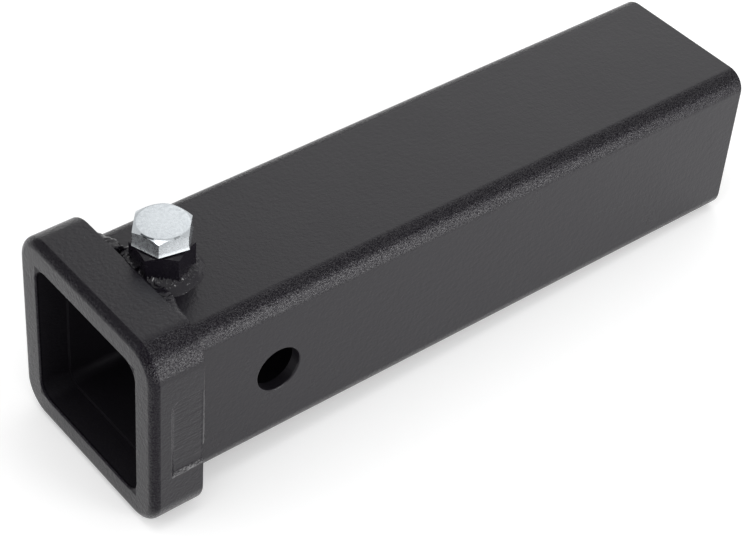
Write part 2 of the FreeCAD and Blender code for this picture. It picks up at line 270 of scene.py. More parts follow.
def sprayed_paint_group():
    """Orange peel, grain and specks of sprayed paint, painted glints and painted shade, and places along a
    square section.

    Round is one on the section's rounded corners, and Inside is one within its walls and in the
    pin hole. Flecks is the pattern of light flecks, all over. The light share of the paint's colour
    is dust specks all over and, on the rounded corners, those flecks as painted glints, fainter on a
    corner's upper half and towards the tail, where more shade is painted. The dark share is painted
    shade through the metallic: a painted dark reflection between the flecks on the corners, stronger
    on a corner's upper half and towards the tail, and a half share of painted shade inside the walls
    and in the pin hole.
    """
    group, start, end = new_group(
        "sprayed_paint",
        [("Vector", "NodeSocketVector", None),
         ("Peel", "NodeSocketFloat", 1.0),
         ("Grain", "NodeSocketFloat", 1.0),
         ("Sparkle", "NodeSocketFloat", 1.0),
         ("Corner Start", "NodeSocketFloat", 53 * MM)],
        ["Height", "Dust And Glints", "Cloud", "Inside", "Round", "Flecks", "Painted Shade"])
    vector = start.outputs["Vector"]
    x, y, z = split_axes(group, vector)
    aside, above = math_node(group, "ABSOLUTE", y), math_node(group, "ABSOLUTE", z)
    widest = math_node(group, "MAXIMUM", aside, above)
    past = math_node(group, "SUBTRACT", add_values(group, aside, above), start.outputs["Corner Start"])
    rounded = rising(group, past, 1.5 * MM, 0.3)

    bore_half, face_half, hole_radius = 27.6 * MM, 29.3 * MM, 8.3 * MM
    from_hole = vector_math(group, "LENGTH", vector_math(group, "MULTIPLY", vector, (1, 0, 1)))
    in_hole = math_node(group, "LESS_THAN", from_hole, hole_radius)
    below_face = math_node(group, "LESS_THAN", widest, face_half)
    in_bore = math_node(group, "LESS_THAN", widest, bore_half)
    inside = math_node(group, "MAXIMUM", in_bore, scaled(group, in_hole, below_face))

    peel = scaled(group, noise_value(group, vector, 620.0, 2.0, 0.45), start.outputs["Peel"])
    grain = scaled(group, noise_value(group, vector, 1250.0, 2.0, 0.6), start.outputs["Grain"])
    level = math_node(group, "SUBTRACT", noise_value(group, vector, 1450.0, 2.0, 0.75), 0.5)
    sparkle = scaled(group, scaled(group, level, start.outputs["Sparkle"]), rounded)
    height = add_values(group, add_values(group, peel, grain), sparkle)

    # Painted shade: more of it on a corner's upper half and towards the tail.
    upper = rising(group, math_node(group, "SUBTRACT", above, aside), 3.0 * MM, 0.6)
    tailward = rising(group, x, 202.43 * MM, -0.19)
    shade = math_node(group, "ADD", upper, tailward, clamp=True)
    flecks = step_up(group, noise_value(group, vector, 2300.0, 2.0, 0.6), 0.42, 0.60)
    on_corner = scaled(group, flecks, rounded)
    shown = scaled(group, on_corner, multiply_add(group, shade, -0.40, 1.0))
    # Painted dark reflection on the rounded corners, between the flecks.
    dull = math_node(group, "SUBTRACT", rounded, shown, clamp=True)
    dark = scaled(group, dull, multiply_add(group, shade, 0.45, 0.55))
    # Painted glints: the flecks on the rounded corners, fainter where more shade is painted.
    light = scaled(group, on_corner, multiply_add(group, shade, -0.62, 1.0))
    dust = step_up(group, noise_value(group, vector, 1500.0, 4.0, 0.7), 0.60, 0.74)

    for name, value in (
        ("Height", height),
        ("Dust And Glints", add_values(group, scaled(group, dust, 0.5), light)),
        ("Cloud", noise_value(group, vector, 55.0, 4.0, 0.6)),
        ("Inside", inside),
        ("Round", rounded),
        ("Flecks", flecks),
        # Painted shade: dark reflection on the corners, and half strength inside the walls and the pin hole.
        ("Painted Shade", add_values(group, dark, scaled(group, inside, 0.5))),
    ):
        link(group, value, end.inputs[name])
    return group


def painted_steel(name, finish, group, roughness, bump, settings, ground=None):
    """Satin black paint over steel with painted glints and painted shade, and painted shade on the collar's
    edges and a ground flat if two corners are given.
    """
    material, tree, shader = new_material(name)
    vector = object_vector(tree)
    paint = add_node(tree, "ShaderNodeGroup", {"Vector": vector, **settings}, node_tree=group).outputs
    # Colour with dust specks and painted glints.
    colour = mixed(tree, finish.paint, finish.paint_dust_and_glints, paint["Dust And Glints"])
    rough = multiply_add(tree, paint["Cloud"], 0.12, roughness - 0.06)
    rough = multiply_add(tree, paint["Round"], -0.07, rough)
    rough = multiply_add(tree, paint["Inside"], 0.26, rough)
    # Painted shade, given through the metallic.
    dark = scaled(tree, paint["Painted Shade"], 0.85)
    normal = bumped(tree, Height=paint["Height"], Strength=bump, Distance=0.2 * MM)
    if ground:
        # Painted shade on the collar's face, front edge and back edge.
        dark = painted_edge_shade(tree, vector, paint, dark)
        normal = grinding_lines(tree, vector, ground, normal)
    shader.inputs["IOR"].default_value = 1.42
    link(tree, colour, shader.inputs["Base Color"])
    link(tree, rough, shader.inputs["Roughness"])
    link(tree, dark, shader.inputs["Metallic"])
    link(tree, normal, shader.inputs["Normal"])
    return material


def painted_edge_shade(tree, vector, paint, dark):
    """Adds painted shade through the metallic, between the flecks, on the collar's face, front edge and back
    edge: a darker face, a painted dark reflection on the rounded front edge and a dimmed highlight on the
    back edge.
    """
    face_end = MOUTH_X + 1.0 * MM
    front_middle, front_reach = MOUTH_X + 1.9 * MM, 0.9 * MM
    back_middle, back_reach = COLLAR_BACK_X - 0.3 * MM, 0.35 * MM
    x = split_axes(tree, vector)[0]
    face = math_node(tree, "LESS_THAN", x, face_end)
    front = math_node(tree, "COMPARE", x, front_middle, front_reach)
    front = scaled(tree, front, multiply_add(tree, paint["Inside"], -1.0, 1.0))
    back = math_node(tree, "COMPARE", x, back_middle, back_reach)
    for place, most, least in ((face, 1.0, 0.2), (front, 0.85, 0.4), (back, 0.5, 0.1)):
        speckle = multiply_add(tree, paint["Flecks"], least - most, most)
        dark = add_values(tree, dark, scaled(tree, speckle, place))
    return dark


def grinding_lines(tree, vector, ground, normal):
    """Lines along X between two corners, over the paint's own relief."""
    lines = noise_value(tree, stretched(tree, vector, (0.07, 1.0, 1.0)), 900.0, 2.0, 0.6)
    strength = scaled(tree, box_mask(tree, vector, *ground), 0.6)
    return bumped(tree, Height=lines, Strength=strength, Distance=0.25 * MM, Normal=normal)


def zinc_steel(name, finish):
    """Bright zinc, mottled towards the top's rim, painted lighter low on the head's sides as painted light,
    with lines down the sides and dull marks on the bevel.
    """
    material, tree, shader = new_material(name)
    vector = object_vector(tree)
    centred = vector_math(tree, "SUBTRACT", vector, (BOLT_AXIS.x, BOLT_AXIS.y, BOLT_HIGH.z))
    height = split_axes(tree, centred)[2]
    radius = vector_math(tree, "LENGTH", vector_math(tree, "MULTIPLY", centred, (1, 1, 0)))
    patches = step_up(tree, noise_value(tree, vector, 900.0, 4.0, 0.6), 0.40, 0.66)
    mottle = scaled(tree, patches, mapped(tree, radius, 4.0 * MM, 8.5 * MM))
    mottle = scaled(tree, mottle, mapped(tree, height, -1.2 * MM, -0.4 * MM, 0.12, 0.5))
    # Painted light: lighter low on the head's sides.
    colour = mixed(tree, finish.zinc, finish.zinc_side_painted_light, mapped(tree, height, -0.1 * MM, -3.6 * MM))
    colour = mixed(tree, colour, finish.zinc_dull, mottle)
    colour = mixed(tree, colour, finish.zinc_mark, bevel_marks(tree, centred, radius, height))
    lines = noise_value(tree, stretched(tree, vector, (1.0, 1.0, 0.08)), 1100.0, 1.0, 0.5)
    shader.inputs["Metallic"].default_value = 1.0
    link(tree, colour, shader.inputs["Base Color"])
    link(tree, multiply_add(tree, patches, 0.10, 0.24), shader.inputs["Roughness"])
    link(tree, bumped(tree, Height=lines, Strength=0.4, Distance=0.05 * MM), shader.inputs["Normal"])
    return material


def bevel_marks(tree, centred, radius, height):
    """Two dull arcs on the head's bevel, from the turn, width and strength of each."""
    circle = 8.45 * MM
    marks = []
    for turn, width, strength in ((202.0, 0.30, 1.0), (267.0, 0.13, 0.5)):
        angle = math.radians(turn)
        middle = (circle * math.cos(angle), circle * math.sin(angle), -0.1 * MM)
        away = vector_math(tree, "DISTANCE", centred, middle)
        outer, inner = 8.4 * width * MM, 7.4 * width * MM
        marks.append(mapped(tree, away, outer, inner, 0.0, strength))
    on_circle = math_node(tree, "COMPARE", radius, circle, 0.28 * MM)
    on_bevel = math_node(tree, "GREATER_THAN", height, -0.6 * MM)
    return scaled(tree, scaled(tree, add_values(tree, *marks), on_circle), on_bevel)


# Mesh helpers

def face_outward(bm):
    bmesh.ops.recalc_face_normals(bm, faces=bm.faces[:])


def merge_points(bm, reach=0.001 * MM):
    bmesh.ops.remove_doubles(bm, verts=bm.verts[:], dist=reach)


def finish_piece(bm, name, body, material, nodes, sharp=32.0, weighted=True):
    """Turns a bmesh into a smooth-shaded piece that stands for its nodes."""
    face_outward(bm)
    for face in bm.faces:
        face.smooth = True
    for edge in bm.edges:
        if len(edge.link_faces) == 2:
            edge.smooth = edge.calc_face_angle(0.0) < math.radians(sharp)
    mesh = bpy.data.meshes.new(name)
    bm.to_mesh(mesh)
    bm.free()
    piece = bpy.data.objects.new(name, mesh)
    bpy.context.scene.collection.objects.link(piece)
    mesh.materials.append(bpy.data.materials[material])
    if weighted:
        modifier = piece.modifiers.new("even_shading", "WEIGHTED_NORMAL")
        modifier.keep_sharp = True
        modifier.weight = 60
    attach(piece, body)
    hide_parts(*nodes)
    return piece


def square_sleeve(bm, chain, segments=12):
    """A closed ring of square loops with round corners, from (half, corner, x) of each loop in turn."""
    half, corner, x = chain[0]
    made = bmesh.ops.create_grid(bm, x_segments=1, y_segments=1, size=half)
    verts = bmesh.ops.bevel(
        bm, geom=made["verts"], offset=corner, offset_type="OFFSET", segments=segments, profile=0.5,
        affect="VERTICES", material=-1)["verts"]
    faces = list({face for vert in verts for face in vert.link_faces})
    edges = list({edge for face in faces for edge in face.edges})
    bmesh.ops.delete(bm, geom=faces, context="FACES_ONLY")
    place = Matrix.Translation((x, 0, 0)) @ Matrix.Rotation(math.pi / 2, 4, "Y")
    bmesh.ops.transform(bm, matrix=place, verts=verts)
    for next_half, next_corner, next_x in chain[1:] + chain[:1]:
        made = bmesh.ops.extrude_edge_only(bm, edges=edges)["geom"]
        edges = [item for item in made if isinstance(item, bmesh.types.BMEdge)]
        for vert in (item for item in made if isinstance(item, bmesh.types.BMVert)):
            side = [math.copysign(half - corner, value) for value in (vert.co.y, vert.co.z)]
            out = [(vert.co.y - side[0]) / corner, (vert.co.z - side[1]) / corner]
            centre = [math.copysign(next_half - next_corner, value) for value in side]
            vert.co = Vector((next_x, centre[0] + out[0] * next_corner, centre[1] + out[1] * next_corner))
        half, corner = next_half, next_corner
    merge_points(bm)


def combine(bm, other, operation):
    """A new bmesh of two closed ones, which are freed, by a boolean operation."""
    objects = []
    for number, source in enumerate((bm, other)):
        face_outward(source)
        mesh = bpy.data.meshes.new(f"work_{number}")
        source.to_mesh(mesh)
        source.free()
        work = bpy.data.objects.new(f"work_{number}", mesh)
        bpy.context.scene.collection.objects.link(work)
        objects.append(work)
    modifier = objects[0].modifiers.new("cut", "BOOLEAN")
    modifier.operation = operation
    modifier.solver = "EXACT"
    modifier.object = objects[1]
    bpy.context.view_layer.update()
    depsgraph = bpy.context.evaluated_depsgraph_get()
    result = bmesh.new()
    result.from_object(objects[0], depsgraph)
    for work in objects:
        mesh = work.data
        bpy.data.objects.remove(work)
        bpy.data.meshes.remove(mesh)
    merge_points(result, 0.002 * MM)
    return result


def rod(radius, low, high, axis="Z", centre=(0, 0, 0), segments=64):
    """A closed cylinder along Y or Z."""
    bm = bmesh.new()
    middle = (low + high) / 2
    if axis == "Y":
        offset, turn = Vector((0, middle, 0)), Matrix.Rotation(math.pi / 2, 4, "X")
    else:
        offset, turn = Vector((0, 0, middle)), Matrix.Identity(4)
    bmesh.ops.create_cone(
        bm, cap_ends=True, segments=segments, radius1=radius, radius2=radius, depth=high - low,
        matrix=Matrix.Translation(Vector(centre) + offset) @ turn)
    return bm


def turned_solid(profile, segments=96):
    """A closed solid of revolution about Z from (radius, height) points that start and end on the axis."""
    bm = bmesh.new()
    verts = [bm.verts.new((radius, 0, height)) for radius, height in profile]
    edges = [bm.edges.new(pair) for pair in zip(verts, verts[1:])]
    bmesh.ops.spin(
        bm, geom=verts + edges, cent=(0, 0, 0), axis=(0, 0, 1), angle=2 * math.pi, steps=segments,
        use_merge=True)
    merge_points(bm)
    face_outward(bm)
    return bm


def hexagon(flats, low, high, turn=0.0):
    """A closed hexagonal prism about Z, turned from two flats across X."""
    bm = bmesh.new()
    radius = flats / math.sqrt(3)
    place = Matrix.Translation((0, 0, (low + high) / 2)) @ Matrix.Rotation(turn, 4, "Z")
    bmesh.ops.create_cone(
        bm, cap_ends=True, segments=6, radius1=radius, radius2=radius, depth=high - low, matrix=place)
    return bm


def arc(centre, radius, first, last, steps):
    """Points on an arc, in degrees, end points included."""
    angles = [math.radians(first + (last - first) * step / steps) for step in range(steps + 1)]
    return [
        (centre[0] + radius * math.cos(angle), centre[1] + radius * math.sin(angle)) for angle in angles]


def soften(bm, wanted, offset, segments=2):
    """Rounds the edges that the wanted test picks."""
    edges = [edge for edge in bm.edges if wanted(edge)]
    if edges:
        bmesh.ops.bevel(
            bm, geom=edges, offset=offset, offset_type="OFFSET", segments=segments, profile=0.5,
            affect="EDGES", clamp_overlap=True, material=-1)


def run_and_rise(edge):
    """How far an edge goes sideways and how far it goes up."""
    way = edge.verts[0].co - edge.verts[1].co
    return math.hypot(way.x, way.y), abs(way.z)


def squareness(across, up, power):
    """How far an outline reaches in a direction, against a circle's reach. The power two is a circle."""
    return (abs(across) ** power + abs(up) ** power) ** (-1 / power)


def bead_fullness(y, first, last, radius, nut_end):
    """A bead's size at y against its radius, and its share in the pool of weld at the nut."""
    pool_reach, pool_fade = 9.5 * MM, 4.5 * MM
    size, pool = 1.0, 0.0
    for end in (first, last):
        blunt = 0.15 * radius if end == nut_end else radius
        size *= math.sqrt(max(0.0, 1 - (max(0.0, blunt - abs(y - end)) / blunt) ** 2))
    if nut_end is not None:
        pool = max(0.0, min(1.0, (pool_reach - abs(y - nut_end)) / pool_fade))
        size *= 0.80 + 0.20 * pool
    return size, pool


def bead_relief(direction, y, shift, ripple, pool):
    """The ripples, swells and lumps of a bead in one direction, against its size."""
    lag = 0.55 * (1 - abs(math.cos(math.atan2(direction.z, direction.x) * 2))) * ripple
    phase = ((y + lag + shift) / ripple) % 1.0
    crest = 1.0 - 0.022 * (1 - math.sin(math.pi * phase) ** 0.6)
    rough = 0.045 * noise.noise(Vector((direction.x * 2.1, y / (2.6 * MM) + shift, direction.z * 2.1)))
    wide = 0.05 * noise.noise(Vector((shift, y / (7.0 * MM), 0)))
    lumps = 0.24 * pool * noise.noise(
        Vector((direction.x * 3.5, y / (1.3 * MM) + shift, direction.z * 3.5)))
    return min(1.0, crest + rough + wide + lumps)


def weld_bead(first, last, radius, seed, nut_end=None, across=40, ripple=1.9 * MM):
    """A bead along Y with overlapping ripples, about the corner line at the origin.

    At the nut's end, if it has one, the bead is full and lumpy, and it thins out away from there.
    """
    bm = bmesh.new()
    length, spacing = last - first, 0.28 * MM
    steps = max(24, int(length / spacing))
    ring = bmesh.ops.create_circle(bm, cap_ends=False, segments=across, radius=1.0)["verts"]
    bmesh.ops.transform(bm, matrix=Matrix.Rotation(math.pi / 2, 4, "X"), verts=ring)
    edges = bm.edges[:]
    rings = [ring]
    for _ in range(steps):
        made = bmesh.ops.extrude_edge_only(bm, edges=edges)["geom"]
        ring = {item for item in made if isinstance(item, bmesh.types.BMVert)}
        made_edges = [item for item in made if isinstance(item, bmesh.types.BMEdge)]
        edges = [edge for edge in made_edges if ring.issuperset(edge.verts)]
        rings.append(ring)
    shift = random.Random(seed).uniform(0, 50)
    for number, ring in enumerate(rings):
        y = first + number / steps * length
        size, pool = bead_fullness(y, first, last, radius, nut_end)
        for vert in ring:
            direction = Vector((vert.co.x, 0, vert.co.z)).normalized()
            outline = squareness(direction.x, direction.z, 2.8 + 2.2 * pool)
            reach = radius * size * bead_relief(direction, y, shift, ripple, pool) * outline * 0.98
            vert.co = Vector((direction.x * reach, y, direction.z * reach))
    merge_points(bm, 0.002 * MM)
    return bm


def keep_side(bm, point, normal):
    """Cuts off what lies behind a plane and closes the cut."""
    geom = bm.verts[:] + bm.edges[:] + bm.faces[:]
    made = bmesh.ops.bisect_plane(
        bm, geom=geom, dist=1e-7, plane_co=point, plane_no=normal, clear_inner=True)
    rim = [item for item in made["geom_cut"] if isinstance(item, bmesh.types.BMEdge) and item.is_boundary]
    bmesh.ops.edgeloop_fill(bm, edges=rim)


def block(low, high):
    """A closed box between two corners."""
    bm = bmesh.new()
    bmesh.ops.create_cube(bm, size=1.0)
    low, high = Vector(low), Vector(high)
    place = Matrix.Translation((low + high) / 2) @ Matrix.Diagonal((*(high - low), 1))
    bmesh.ops.transform(bm, matrix=place, verts=bm.verts[:])
    return bm


# Pieces

class RECEIVER_OT_tube(bpy.types.Operator):
    """Make the square tube with its pin hole and the hole under the nut"""

    bl_idname = "receiver.tube"
    bl_label = "Square Tube"

    def execute(self, context):
        shape = context.scene.receiver_shape
        outer, inner = TUBE_HALF, TUBE_HALF - shape.tube_wall
        corner, bore_corner = shape.tube_corner, shape.bore_corner
        bevel = 0.5 * MM
        part = 0.3 * bevel
        chain = [
            (outer, corner, TUBE_FRONT_X),
            (outer, corner, TAIL_X - bevel),
            (outer - part, corner - part, TAIL_X - part),
            (outer - bevel, corner - bevel, TAIL_X),
            (inner + bevel, bore_corner + bevel, TAIL_X),
            (inner + part, bore_corner + part, TAIL_X - part),
            (inner, bore_corner, TAIL_X - bevel),
            (inner, bore_corner, TUBE_FRONT_X),
        ]
        bm = bmesh.new()
        square_sleeve(bm, chain)
        pin_hole = rod(shape.pin_hole / 2, -2 * TUBE_HALF, 2 * TUBE_HALF, "Y", segments=96)
        bm = combine(bm, pin_hole, "DIFFERENCE")
        bolt_hole = rod(BOLT_HOLE, 0, 2 * TUBE_HALF, centre=(BOLT_AXIS.x, BOLT_AXIS.y, 0))
        bm = combine(bm, bolt_hole, "DIFFERENCE")
        soften(bm, lambda edge: self.on_pin_hole(edge, shape), shape.pin_hole_edge, 4)
        finish_piece(bm, "square_tube", "receiver", "tube_paint", ["receiver_tube"])
        return {"FINISHED"}

    def on_pin_hole(self, edge, shape):
        """Tells whether an edge runs round the pin hole at one of the tube's sides."""
        near = 0.01 * MM
        reach = shape.pin_hole / 2 + near
        return all(
            abs(abs(vert.co.y) - TUBE_HALF) < near and math.hypot(vert.co.x, vert.co.z) < reach
            for vert in edge.verts)


class RECEIVER_OT_collar(bpy.types.Operator):
    """Make the collar round the mouth with its lip, socket and ground flat"""

    bl_idname = "receiver.collar"
    bl_label = "Mouth Collar"

    def execute(self, context):
        shape = context.scene.receiver_shape
        outer, corner = COLLAR_HALF, shape.collar_corner
        front_round, lip_round = shape.collar_round, shape.lip_edge
        clearance = 0.1 * MM
        socket, socket_corner = TUBE_HALF + clearance, shape.tube_corner + clearance
        chain = [
            (outer - 0.6 * MM, corner - 0.6 * MM, COLLAR_BACK_X),
            (outer - 0.2 * MM, corner - 0.2 * MM, COLLAR_BACK_X - 0.2 * MM),
            (outer, corner, COLLAR_BACK_X - 0.7 * MM),
        ]
        for inset, forward in arc((front_round, front_round), front_round, 180, 270, 8):
            chain.append((outer - inset, corner - inset, MOUTH_X + forward))
        for out, back in arc((lip_round, lip_round), lip_round, 270, 180, 5):
            chain.append((shape.lip_half + out, shape.lip_corner + out, MOUTH_X + back))
        chain.append((shape.lip_half, shape.lip_corner, TUBE_FRONT_X))
        chain.append((socket, socket_corner, TUBE_FRONT_X))
        chain.append((socket, socket_corner, COLLAR_BACK_X))
        bm = bmesh.new()
        square_sleeve(bm, chain, 16)
        bm = combine(bm, self.flat_cutter(shape), "DIFFERENCE")
        soften(bm, lambda edge: self.on_rim(edge, shape), 0.18 * MM, 3)
        finish_piece(bm, "mouth_ring", "receiver", "collar_paint", ["mouth_collar"])
        return {"FINISHED"}

    def flat_cutter(self, shape):
        """The air over the ground flat, flared outward, with its upper front corner rounded."""
        front_slope, top_slope, bottom_slope = 1.5, 0.7, 1.15
        bm = bmesh.new()
        bmesh.ops.create_cube(bm, size=2.0)
        depth, out = shape.dressed_depth, 5 * MM
        front, beyond = COLLAR_BACK_X - shape.dressed_length, COLLAR_BACK_X + out
        for vert in bm.verts:
            inner, at_front, at_top = vert.co.y > 0, vert.co.x < 0, vert.co.z > 0
            reach = -depth / 2 if inner else depth / 2 + out
            top = shape.dressed_top + top_slope * reach
            bottom = -shape.dressed_bottom - bottom_slope * reach
            vert.co.x = front - front_slope * reach if at_front else beyond
            vert.co.z = top if at_top else bottom
            vert.co.y = depth - COLLAR_HALF if inner else -COLLAR_HALF - out
        corner = [
            edge for edge in bm.edges
            if all(vert.co.x < front + depth and vert.co.z > 0 for vert in edge.verts)]
        bmesh.ops.bevel(
            bm, geom=corner, offset=3 * MM, offset_type="OFFSET", segments=8, profile=0.5, affect="EDGES",
            material=-1)
        return bm

    def on_rim(self, edge, shape):
        """Tells whether an edge runs round the ground flat, at its floor or at the collar's side."""
        near, reach = 0.02 * MM, 1.5 * shape.dressed_depth
        front = COLLAR_BACK_X - shape.dressed_length
        return edge.calc_face_angle(0.0) > math.radians(15) and all(
            min(abs(vert.co.y + COLLAR_HALF), abs(vert.co.y + COLLAR_HALF - shape.dressed_depth)) < near
            and front - reach < vert.co.x < COLLAR_BACK_X - 0.65 * MM
            and -shape.dressed_bottom - reach < vert.co.z < shape.dressed_top + reach
            for vert in edge.verts)


class RECEIVER_OT_welds(bpy.types.Operator):
    """Lay the weld beads behind the collar and round the nut"""

    bl_idname = "receiver.welds"
    bl_label = "Weld Beads"

    def execute(self, context):
        runs = (
            ("collar_top_left_weld", "top_left_bead", 0, 3, min),
            ("collar_top_right_weld", "top_right_bead", 0, 11, max),
            ("collar_right_weld", "right_bead", 1, 17, None),
            ("collar_bottom_weld", "bottom_bead", 2, 23, None),
            ("collar_left_weld", "left_bead", 3, 31, None),
        )
        for node, name, quarter_turns, seed, towards_nut in runs:
            turn = Matrix.Rotation(math.pi / 2 * quarter_turns, 4, "X")
            low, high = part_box(node)
            first, last = sorted((turn.inverted() @ corner).y for corner in (low, high))
            radius = high.x - low.x
            bm = weld_bead(first, last, radius, seed, towards_nut and towards_nut(first, last))
            far = 3 * radius
            quarter = block((-BEAD_SINK, first - far, -BEAD_SINK), (far, last + far, far))
            bm = combine(bm, quarter, "INTERSECT")
            place = turn @ Matrix.Translation((COLLAR_BACK_X, 0, TUBE_HALF))
            bmesh.ops.transform(bm, matrix=place, verts=bm.verts[:])
            finish_piece(
                bm, name, "receiver", "weld_paint", [node], sharp=60, weighted=False)
        self.nut_bead(context.scene.receiver_shape)
        return {"FINISHED"}

    def nut_bead(self, shape):
        """The ring of weld round the nut's foot, highest where it fills the gap to the collar."""
        low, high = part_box("nut_weld")
        middle = shape.spanner / 2
        foot, rise = high.x - BOLT_AXIS.x - middle, high.z - low.z
        bm = bmesh.new()
        bmesh.ops.create_circle(bm, cap_ends=False, segments=56, radius=1.0)
        place = Matrix.Translation((middle, 0, 0)) @ Matrix.Rotation(math.pi / 2, 4, "X")
        bmesh.ops.transform(bm, matrix=place @ Matrix.Diagonal((foot, foot, 1, 1)), verts=bm.verts[:])
        bmesh.ops.spin(
            bm, geom=bm.verts[:] + bm.edges[:], cent=(0, 0, 0), axis=(0, 0, 1), angle=2 * math.pi,
            steps=280, use_merge=True)
        merge_points(bm, 0.002 * MM)
        for vert in bm.verts:
            turn = math.atan2(vert.co.y, vert.co.x)
            outward = Vector((math.cos(turn), math.sin(turn), 0))
            along, upward = (vert.co.dot(outward) - middle) / foot, vert.co.z / foot
            size, height = self.nut_bead_size(turn, along, upward)
            vert.co = outward * (middle + along * size * foot)
            vert.co.z = upward * size * rise * height
        prism = hexagon(shape.spanner - 0.2 * MM, -20 * MM, 20 * MM, shape.nut_turn)
        bm = combine(bm, prism, "DIFFERENCE")
        far = 2 * shape.spanner
        seat = block((COLLAR_BACK_X - BOLT_AXIS.x - BEAD_SINK, -far, -BEAD_SINK), (far, far, far))
        bm = combine(bm, seat, "INTERSECT")
        bmesh.ops.translate(bm, vec=(BOLT_AXIS.x, BOLT_AXIS.y, TUBE_HALF), verts=bm.verts[:])
        finish_piece(
            bm, "nut_bead", "receiver", "weld_paint", ["nut_weld"], sharp=60, weighted=False)

    def nut_bead_size(self, turn, along, upward):
        """The nut bead's size and height against full ones, in one direction at a turn about the nut."""
        gap_side, waves = math.radians(135), 17
        where = Vector((math.cos(turn), math.sin(turn), upward * 0.5))
        to_collar = ((1 - math.cos(turn)) / 2) ** 2.5
        pool = max(0.0, math.cos(turn - gap_side)) ** 1.5
        wave = turn * waves / (2 * math.pi) + 0.45 * abs(upward)
        crest = 1.0 - 0.08 * upward ** 2 * (1 - math.sin(math.pi * (wave % 1.0)) ** 0.7)
        rough = 0.13 * noise.noise(where * 2.3) + 0.02 * noise.noise(where * 7.0) - 0.03
        lumps = 0.20 * noise.noise(where * 8.0) + 0.20 * noise.noise(where * 15.0)
        rough += max(upward ** 4, pool) * lumps
        size = min(0.99, (crest + rough) * 0.94) * squareness(along, upward, 1.12 + 2.4 * pool)
        height = 0.66 + 0.34 * max(pool, to_collar) + 0.08 * noise.noise(where * 4.0)
        return size, min(1.0, height)


class RECEIVER_OT_nut(bpy.types.Operator):
    """Make the welded hexagon nut with its bevelled top and a plain bore, widened at its mouth"""

    bl_idname = "receiver.nut"
    bl_label = "Clamp Nut"

    def execute(self, context):
        shape = context.scene.receiver_shape
        height = NUT_HIGH.z - NUT_LOW.z
        beyond = shape.spanner / math.sqrt(3) + 1 * MM
        top = NUT_TOP_CIRCLE
        drop = (beyond - top) * math.tan(math.radians(30))
        profile = [
            (0, 0),
            (beyond, 0),
            (beyond, height - drop),
            (top + 0.3 * MM, height - 0.16 * MM),
            (top, height - 0.05 * MM),
            (top - 0.4 * MM, height),
            (0, height),
        ]
        prism = hexagon(shape.spanner, 0, height, shape.nut_turn)
        bm = combine(prism, turned_solid(profile, 144), "INTERSECT")
        mouth_radius, mouth_depth, air = 6.9 * MM, 0.8 * MM, 1 * MM
        bore = turned_solid([
            (0, -air),
            (NUT_BORE, -air),
            (NUT_BORE, height - mouth_depth),
            (mouth_radius, height),
            (mouth_radius, height + air),
            (0, height + air),
        ])
        bm = combine(bm, bore, "DIFFERENCE")
        soften(bm, self.on_corner, 0.25 * MM, 3)
        bmesh.ops.translate(bm, vec=(BOLT_AXIS.x, BOLT_AXIS.y, NUT_LOW.z), verts=bm.verts[:])
        finish_piece(bm, "hexagon_nut", "receiver", "collar_paint", ["clamp_nut"], sharp=24)
        return {"FINISHED"}

    def on_corner(self, edge):
        """Tells whether an edge is one of the six upright ones."""
        return (
            edge.calc_face_angle(0.0) > math.radians(40) and run_and_rise(edge)[1] > 4 * MM
            and all(math.hypot(vert.co.x, vert.co.y) > 7.5 * MM for vert in edge.verts))


